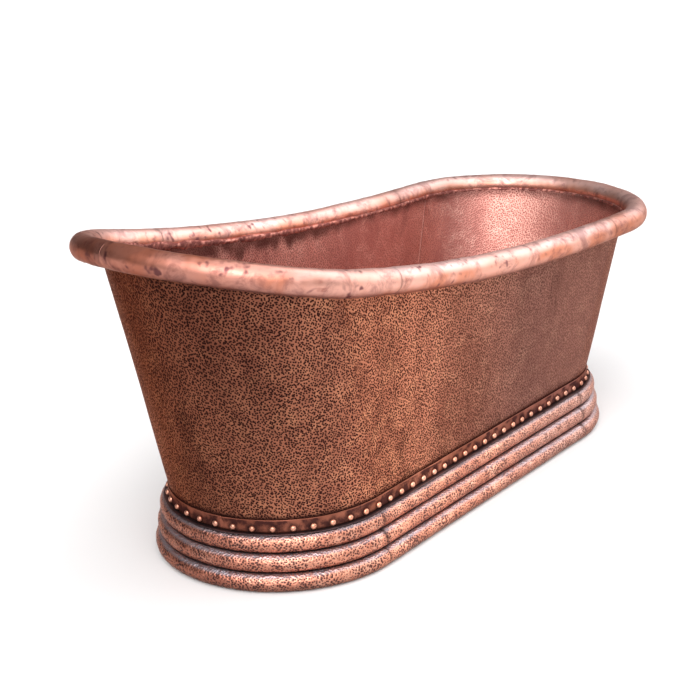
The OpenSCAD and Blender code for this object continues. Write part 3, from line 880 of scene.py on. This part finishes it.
BAND_R = FOOT_R + BAND_GAP + BAND_T
FOOT_LENGTH = 4 * STRAIGHT + 2 * PI * FOOT_R
RIVET_PITCH = FOOT_LENGTH / RIVETS


def at_foot_radius(s, r):
    """A distance along the foot at radius r, told as the distance at the foot's own radius."""
    q, full, st = PI * FOOT_R / 2, PI * r / 2, STRAIGHT
    w = np.mod(s + full, 4 * st + 4 * full) - full
    on = [w < full, w < full + 2 * st, w < 3 * full + 2 * st]
    low_end = q + 2 * st + (w - full - 2 * st) * FOOT_R / r
    return np.select(on, [w * FOOT_R / r, w - full + q, low_end], w - 3 * full + 3 * q)


LAP = 9 * MM


def band_piece(node, start, end, lap_lift):
    """A strip of the riveted band, with a worn top edge and a dark halo around each rivet."""
    s = stations(start, end, 2.5 * MM)
    low, tall, edge = PLINTH_TOP + LEDGE_T, BAND_TOP - PLINTH_TOP - LEDGE_T, 0.7 * MM
    ring = rounded(BAND_T, tall, edge)
    # The outer face has points between its corners, to hold its waves
    face = edge + (tall - 2 * edge) * np.linspace(0, 1, 13)[1:-1]
    outer = np.stack([np.full_like(face, BAND_T), face], -1)
    lower = 2 * CORNER_POINTS
    ring = np.concatenate([ring[:lower], outer, ring[lower:]])
    out, z = ring[:, 0] + BAND_GAP, ring[:, 1] + low
    plain = foot_rows(s, BAND_R, out, z)
    high = smooth(z, low + 0.35 * tall, low + tall)
    wave = 0.45 * noise(plain, 0.055, 71) * high - 0.25 * np.abs(noise(plain, 0.018, 72)) * high
    face_wave = 0.22 * noise(plain, 0.016, 73) * (out > BAND_T)
    lift = lap_lift * (1 - smooth(s - start, LAP, 3 * LAP))[:, None]
    rows = foot_rows(s, BAND_R, out + MM * face_wave + lift, z + MM * wave)
    off = np.mod(at_foot_radius(s, BAND_R)[:, None] - RIVET_PITCH / 2, RIVET_PITCH)
    dist = np.hypot(np.minimum(off, RIVET_PITCH - off), z - RIVET_Z)
    halo = (1 - smooth(dist, 8 * MM, 17 * MM)) * (0.8 + 0.2 * noise(plain, 0.008, 74))
    foot_shade = 1 - smooth(z, low, low + 7 * MM)
    worn = smooth(z, low + tall - 3.2 * MM, low + tall - 0.6 * MM)
    worn = worn * (0.7 + 0.3 * noise(plain, 0.02, 75))
    soot = np.clip(np.maximum(halo * 0.85, 0.8 * foot_shade), 0, 0.9) * (1 - worn)
    pit = np.clip(0.45 + 0.5 * noise(plain, 0.018, 76) - worn, 0, 1)
    fields = {"pit": pit, "soot": soot, "worn": worn}
    own(sweep(node + "_strip", rows, [band_copper], fields), [node])


joint_s = BAND_JOINT * BAND_R
low_tip_s = 2 * STRAIGHT + PI * BAND_R
whole_s = 4 * STRAIGHT + 2 * PI * BAND_R
# The front strip laps over the back strip at the raised end
band_piece("band_front", joint_s, low_tip_s, 1.3 * MM)
band_piece("band_back", low_tip_s - whole_s, joint_s + 1 * MM, 0.0)


def rivet_heads():
    """Hand-set domed heads, each a little different, with the collar they were struck down to."""
    profile = np.linspace(0, PI / 2, 8)
    sides = 20
    turn = circle(sides)
    points, faces, fields = [], [], []
    x, angle = foot_place((np.arange(RIVETS) + 0.5) * FOOT_LENGTH / RIVETS, FOOT_R)
    for k in range(RIVETS):
        cell = np.array([k])
        size, tip, skew = (float(hashed(80 + n, cell)[0]) - 0.5 for n in range(3))
        radius = RIVET_R * (1 + 0.07 * size) * np.sin(profile) ** 0.92
        height = RIVET_H * (1 + 0.1 * tip) * np.cos(profile)
        out = np.array([math.cos(angle[k]), math.sin(angle[k]), 0])
        side = np.array([-out[1], out[0], 0])
        centre = np.array([x[k], 0, RIVET_Z + 0.7 * MM * skew]) + out * BAND_R
        centre = centre + side * 0.8 * MM * size
        lean = out + side * 0.08 * skew + np.array([0, 0, 0.08 * tip])
        base = len(points)
        ring = [
            centre + lean * h + (side * math.cos(a) + np.array([0, 0, math.sin(a)])) * w
            for h, w in zip(height[1:], radius[1:])
            for a in turn
        ]
        foot = [p - out * 1.5 * MM for p in ring[-sides:]]
        points += [centre + lean * height[0]] + ring + foot
        fields += [0.0] + [0.3 * smooth(h, 2.2 * MM, 0) for h in height[1:] for _ in turn]
        fields += [0.6] * sides
        grid = grid_faces(len(profile), sides, False, True) + base + 1
        under = base + 1 + (len(profile) - 1) * sides
        faces += [tuple(f) for f in grid]
        faces += [(base, base + 1 + a, base + 1 + (a + 1) % sides) for a in range(sides)]
        faces += [tuple(under + a for a in range(sides))[::-1]]
    mesh = bpy.data.meshes.new("rivet_heads")
    mesh.from_pydata([tuple(p) for p in points], [], faces)
    mesh.polygons.foreach_set("use_smooth", np.ones(len(faces), bool))
    mesh.materials.append(rivet_copper)
    values = np.array(fields, np.float32)
    mesh.attributes.new("soot", "FLOAT", "POINT").data.foreach_set("value", values)
    own(placed("rivet_heads", mesh), ["band_rivets"])


rivet_heads()


# ---------------- floor pan
PAN_OUT = FOOT_R + cove_box[0][1]
COVE_R = 30 * MM
FLOOR_T = 2 * MM
PAN_Z = cove_box[0][2] + FLOOR_T
DRAIN_X = float(sum(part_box("drain_gasket")[k].x for k in (0, 1)) / 2)
DRAIN_HOLE = 24.5 * MM
DRAIN_RINGS = (28, 33, 38, 40, 42, 44, 46, 52)  # mm, radii of the floor's points around it
RECESS_R = 42 * MM
RECESS_DEPTH = 3 * MM
FLOOR_GRID = 9 * MM


def floor_height(x, y):
    """The floor's upper face: slightly uneven, and dished around the waste."""
    away = np.hypot(x - DRAIN_X, y)
    dish = RECESS_DEPTH * (1 - smooth(away, RECESS_R - 3 * MM, RECESS_R + 3 * MM))
    spot = np.stack([x, y, 0 * x], -1)
    calm = smooth(away, 45 * MM, 120 * MM)
    return PAN_Z - dish + MM * calm * (0.5 * noise(spot, 0.2, 91) + 0.25 * noise(spot, 0.07, 92))


def floor_plate():
    """The flat of the pan inside its cove, and its underside, around the waste hole."""
    r = FOOT_R - PAN_OUT - COVE_R
    turn = np.linspace(-PI / 2, PI / 2, 49)
    side = np.linspace(-STRAIGHT, STRAIGHT, 97)[1:-1]
    edge = [(STRAIGHT + r * math.cos(a), r * math.sin(a)) for a in turn]
    edge += [(x, r) for x in side[::-1]]
    edge += [(-STRAIGHT - r * math.cos(a), -r * math.sin(a)) for a in turn]
    edge += [(x, -r) for x in side]
    ring = circle(48)
    hole = [(DRAIN_X + DRAIN_HOLE * math.cos(a), DRAIN_HOLE * math.sin(a)) for a in ring]
    inner = []
    for q in np.array(DRAIN_RINGS) * MM:
        inner += [(DRAIN_X + q * math.cos(a), q * math.sin(a)) for a in ring]
    for gx in np.arange(-STRAIGHT - r, STRAIGHT + r, FLOOR_GRID):
        for gy in np.arange(-r + FLOOR_GRID / 2, r, FLOOR_GRID):
            reach = math.hypot(max(0, abs(gx) - STRAIGHT), gy)
            if reach < r - 5 * MM and math.hypot(gx - DRAIN_X, gy) > 58 * MM:
                inner.append((float(gx), float(gy)))
    flat = [Vector(p) for p in edge + hole + inner]
    n, h = len(edge), len(hole)
    lines = [(k, (k + 1) % n) for k in range(n)] + [(n + k, n + (k + 1) % h) for k in range(h)]
    out = delaunay_2d_cdt(flat, lines, [], 1, 1e-7)
    spots = np.array([tuple(p) for p in out[0]])
    faces = np.array([f for f in out[2] if len(f) == 3])
    middle = spots[faces].mean(1)
    clear = np.hypot(middle[:, 0] - DRAIN_X, middle[:, 1]) > DRAIN_HOLE - 0.1 * MM
    reach = np.hypot(np.maximum(0, np.abs(middle[:, 0]) - STRAIGHT), middle[:, 1])
    faces = faces[clear & (reach < r + 0.1 * MM)]
    used = np.unique(faces)
    index = np.full(len(spots), -1)
    index[used] = np.arange(len(used))
    spots, faces = spots[used], index[faces]
    z = floor_height(spots[:, 0], spots[:, 1])
    top = np.column_stack([spots, z])
    low = np.column_stack([spots, z - FLOOR_T])
    # Join the faces' open edges between the two sides
    pairs = np.concatenate([faces[:, [0, 1]], faces[:, [1, 2]], faces[:, [2, 0]]])
    key = {tuple(p) for p in pairs}
    rim = np.array([p for p in key if (p[1], p[0]) not in key])
    count = len(spots)
    one, two = rim.T
    walls = [np.column_stack([two, one, one + count])]
    walls += [np.column_stack([two, one + count, two + count])]
    every = np.concatenate([faces, faces[:, ::-1] + count, *walls])
    away = np.hypot(top[:, 0] - DRAIN_X, top[:, 1])
    stain = 0.5 * (1 - smooth(away, 36 * MM, 46 * MM)) + 0.2 * (1 - smooth(away, 0.05, 0.16))
    fields = {"soot": stain, "along": spots[:, 0], "up": spots[:, 1]}
    fields = {key: np.tile(values, 2) for key, values in fields.items()}
    piece = make("floor_plate", np.concatenate([top, low]), every, (), [pan_copper], fields)
    own(piece, ["floor_pan"])


def floor_cove():
    """The pan's rounded edge and the flange that turns up inside the wall."""
    r = FOOT_R
    s = stations(0, FOOT_LENGTH, 7 * MM)[:-1]
    turn = np.linspace(-PI / 2, 0, 11)
    top = BAND_TOP - 4 * MM
    centre = (-PAN_OUT - COVE_R, PAN_Z - FLOOR_T + COVE_R)

    def arc(radius, angles):
        x, z = centre
        return [(x + radius * math.cos(a), z + radius * math.sin(a)) for a in angles]

    rise = [(-PAN_OUT - FLOOR_T, z) for z in np.linspace(centre[1], top - 0.5 * MM, 5)[1:]]
    cap = [(-PAN_OUT - FLOOR_T / 2, top), (-PAN_OUT, top - 0.5 * MM), (-PAN_OUT, centre[1])]
    loop = np.array(arc(COVE_R - FLOOR_T, turn) + rise + cap + arc(COVE_R, turn[::-2])[1:])
    plain = foot_rows(s, r, loop[:, 0], loop[:, 1])
    wave = 0.35 * MM * noise(plain, 0.07, 95) * smooth(loop[:, 0], centre[0], centre[0] + 10 * MM)
    rows = foot_rows(s, r, loop[:, 0] - np.abs(wave), loop[:, 1])
    soot = 0.7 * smooth(loop[:, 1], top - 10 * MM, top) * (0.6 + 0.4 * noise(plain, 0.02, 96))
    soot = soot + 0.15 * (1 - smooth(np.abs(loop[:, 1] - PAN_Z - 8 * MM), 0, 12 * MM))
    up = np.concatenate([[0], np.cumsum(np.hypot(*np.diff(loop, axis=0).T))])
    fields = {"soot": soot, "along": s[:, None], "up": up}
    piece = sweep("floor_cove", rows, [pan_copper], fields, wrap=True)
    own(piece, ["cove_front", "cove_back", "cove_high_end", "cove_low_end"])


floor_plate()
floor_cove()


# ---------------- stopper cap
CAP_SIDES = 72
CAP_HALF_ARC = 0.5  # radians of the dome's circle from its middle to its edge
CAP_CROWN = 4.6 * MM


def eased(points, edge, steps):
    """A closed outline with each corner rounded by about `edge`."""
    points = [Vector(p) for p in points]
    result = []
    for k, corner in enumerate(points):
        before, after = points[k - 1] - corner, points[(k + 1) % len(points)] - corner
        cut = min(edge, before.length * 0.45, after.length * 0.45)
        a, b = corner + before.normalized() * cut, corner + after.normalized() * cut
        for n in range(steps + 1):
            t = n / steps
            result.append(tuple(a * (1 - t) ** 2 + corner * 2 * t * (1 - t) + b * t**2))
    return result


def stopper_cap():
    """The turned cap of the stopper: a shallow dome with an eased edge and a flat underside."""
    low, high = box("stopper_cap")
    r, z = (high[0] - low[0]) / 2, low[2]
    loop = [(0.0, z)]
    for a in np.linspace(0.0, CAP_HALF_ARC, 12)[:-1]:
        fall = CAP_CROWN * (1 - math.cos(a)) / (1 - math.cos(CAP_HALF_ARC))
        loop.append((r * math.sin(a) / math.sin(CAP_HALF_ARC), high[2] - fall))
    corners = [(r - 0.2 * MM, z + 2.4 * MM), (r, z + 1.2 * MM), (r - 0.6 * MM, z)]
    loop = np.array(loop + eased(corners, 0.5 * MM, 3))
    turn = circle(CAP_SIDES)
    rows = np.empty((CAP_SIDES, len(loop), 3))
    rows[..., 0] = DRAIN_X + np.cos(turn)[:, None] * loop[:, 0]
    rows[..., 1] = np.sin(turn)[:, None] * loop[:, 0]
    rows[..., 2] = loop[:, 1]
    fields = {"pit": 0.15, "soot": 0.0}
    piece = sweep("stopper_cap_turned", rows, [waste_copper], fields, wrap=True)
    # Points on the axis become one
    shape = bmesh.new()
    shape.from_mesh(piece.data)
    bmesh.ops.remove_doubles(shape, verts=shape.verts, dist=1e-7)
    shape.to_mesh(piece.data)
    shape.free()
    own(piece, ["stopper_cap"], STOPPER)


stopper_cap()


# ---------------- CAD nodes that keep their shape
def dress(node, material, bevel=0.0):
    """Gives a carried-over CAD node its procedural material, and eases its edges."""
    piece = nodes[node]
    piece.data.materials.clear()
    piece.data.materials.append(material)
    if bevel:
        ease = piece.modifiers.new("eased_edges", "BEVEL")
        ease.width, ease.segments, ease.limit_method = bevel, 2, "ANGLE"
        ease.angle_limit = math.radians(50)


for kept in ("cradle_rail_front", "cradle_rail_back"):
    dress(kept, steel_paint, 1.2 * MM)
for kept in range(1, 6):
    dress(f"bearer_{kept}", timber, 1.5 * MM)
for kept in ("foot_studs", "foot_nuts", "stopper_spring"):
    dress(kept, zinc)
for kept in ("foot_pads", "drain_gasket", "drain_rubber_washer", "stopper_seal"):
    dress(kept, rubber, 0.4 * MM)
dress("drain_fibre_washer", fibre)
for kept in ("drain_body", "drain_nut", "drain_tailpiece", "stopper_guide", "stopper_stem"):
    dress(kept, waste_copper, 0.3 * MM)


# ---------------- stage, lights and camera
def stage():
    """A plain pale floor."""
    t = Tree("pale_floor")
    tone = t.remap(t.noise(0.9, 3.0, 0.5), 0.3, 0.7)
    colour = t.mix(tone, (0.70, 0.70, 0.70), (0.72, 0.72, 0.718))
    normal = t.bump(t.noise(0.02, 2.0, 0.5), 0.0001)
    material = t.finish(colour, t.remap(tone, 0.0, 1.0, 0.75, 0.8), normal, 0.0)
    half = 14.0
    mesh = bpy.data.meshes.new("studio_floor")
    corners = [(-half, -half, 0), (half, -half, 0), (half, half, 0), (-half, half, 0)]
    mesh.from_pydata(corners, [], [(0, 1, 2, 3)])
    mesh.materials.append(material)
    placed("studio_floor", mesh)


def soft_light(name, place, target, size, power, tint):
    """A large rectangular lamp that faces a target."""
    data = bpy.data.lights.new(name, "AREA")
    data.shape, data.size, data.size_y = "RECTANGLE", size[0], size[1]
    data.energy, data.color = power, tint
    lamp = placed(name, data)
    aim = Vector(target) - Vector(place)
    lamp.rotation_euler = aim.to_track_quat("-Z", "Y").to_euler()
    lamp.location = place


def camera():
    """The photograph's viewpoint, found by fitting the tub's outline."""
    place, target = Vector((-3.1259, -2.2230, 1.6286)), Vector((-0.1482, 0.0239, 0.3729))
    roll = math.radians(-1.859)
    ahead = (target - place).normalized()
    right = ahead.cross(Vector((0, 0, 1))).normalized()
    up = right.cross(ahead)
    turned_right = right * math.cos(roll) + up * math.sin(roll)
    turned_up = up * math.cos(roll) - right * math.sin(roll)
    data = bpy.data.cameras.new("camera")
    data.lens, data.sensor_width = 82.4, 36.0
    data.clip_end = 60
    view = placed("camera", data)
    basis = Matrix((turned_right, turned_up, -ahead)).transposed().to_4x4()
    view.matrix_world = Matrix.Translation(place) @ basis
    bpy.context.scene.camera = view


def sky():
    """Soft light from all around, brighter where the studio's lamps would stand."""
    world = bpy.data.worlds.new("studio")
    bpy.context.scene.world = world
    world.use_nodes = True
    t = Nodes(world.node_tree)
    place = t.add("TexCoord").outputs["Generated"]

    def toward(direction, low, high, to_low, to_high):
        """Brightness that changes from to_low to to_high as a ray nears a direction."""
        unit = tuple(Vector(direction).normalized())
        near = t.add("VectorMath", {0: place, 1: unit}, operation="DOT_PRODUCT")
        return t.remap(near.outputs["Value"], low, high, to_low, to_high)

    key = toward((-0.64, -0.37, 0.67), 0.5, 1.0, 0.0, 2.9)
    fill = toward((0.74, -0.42, 0.52), 0.68, 1.0, 0.0, 1.9)
    above = toward((0.0, 0.0, 1.0), 0.0, 1.0, 0.32, 0.85)
    shade = toward((-0.5, 0.85, 0.2), -0.1, 0.9, 1.0, 0.4)
    total = t.math("ADD", t.math("MULTIPLY", above, shade), key)
    back = t.nodes["Background"]
    t.put(back.inputs["Color"], (1.0, 0.985, 0.99))
    t.put(back.inputs["Strength"], t.math("ADD", total, fill))


stage()
sky()
soft_light("front_left", (-3.4, -1.7, 3.1), (0.0, 0, 0.4), (1.8, 1.8), 55, (1.0, 0.985, 0.97))
soft_light("overhead", (0.2, 0.0, 2.8), (0.2, 0, 0.3), (2.0, 1.6), 14, (1.0, 0.99, 0.98))
camera()
bpy.context.scene.view_settings.view_transform = "Standard"
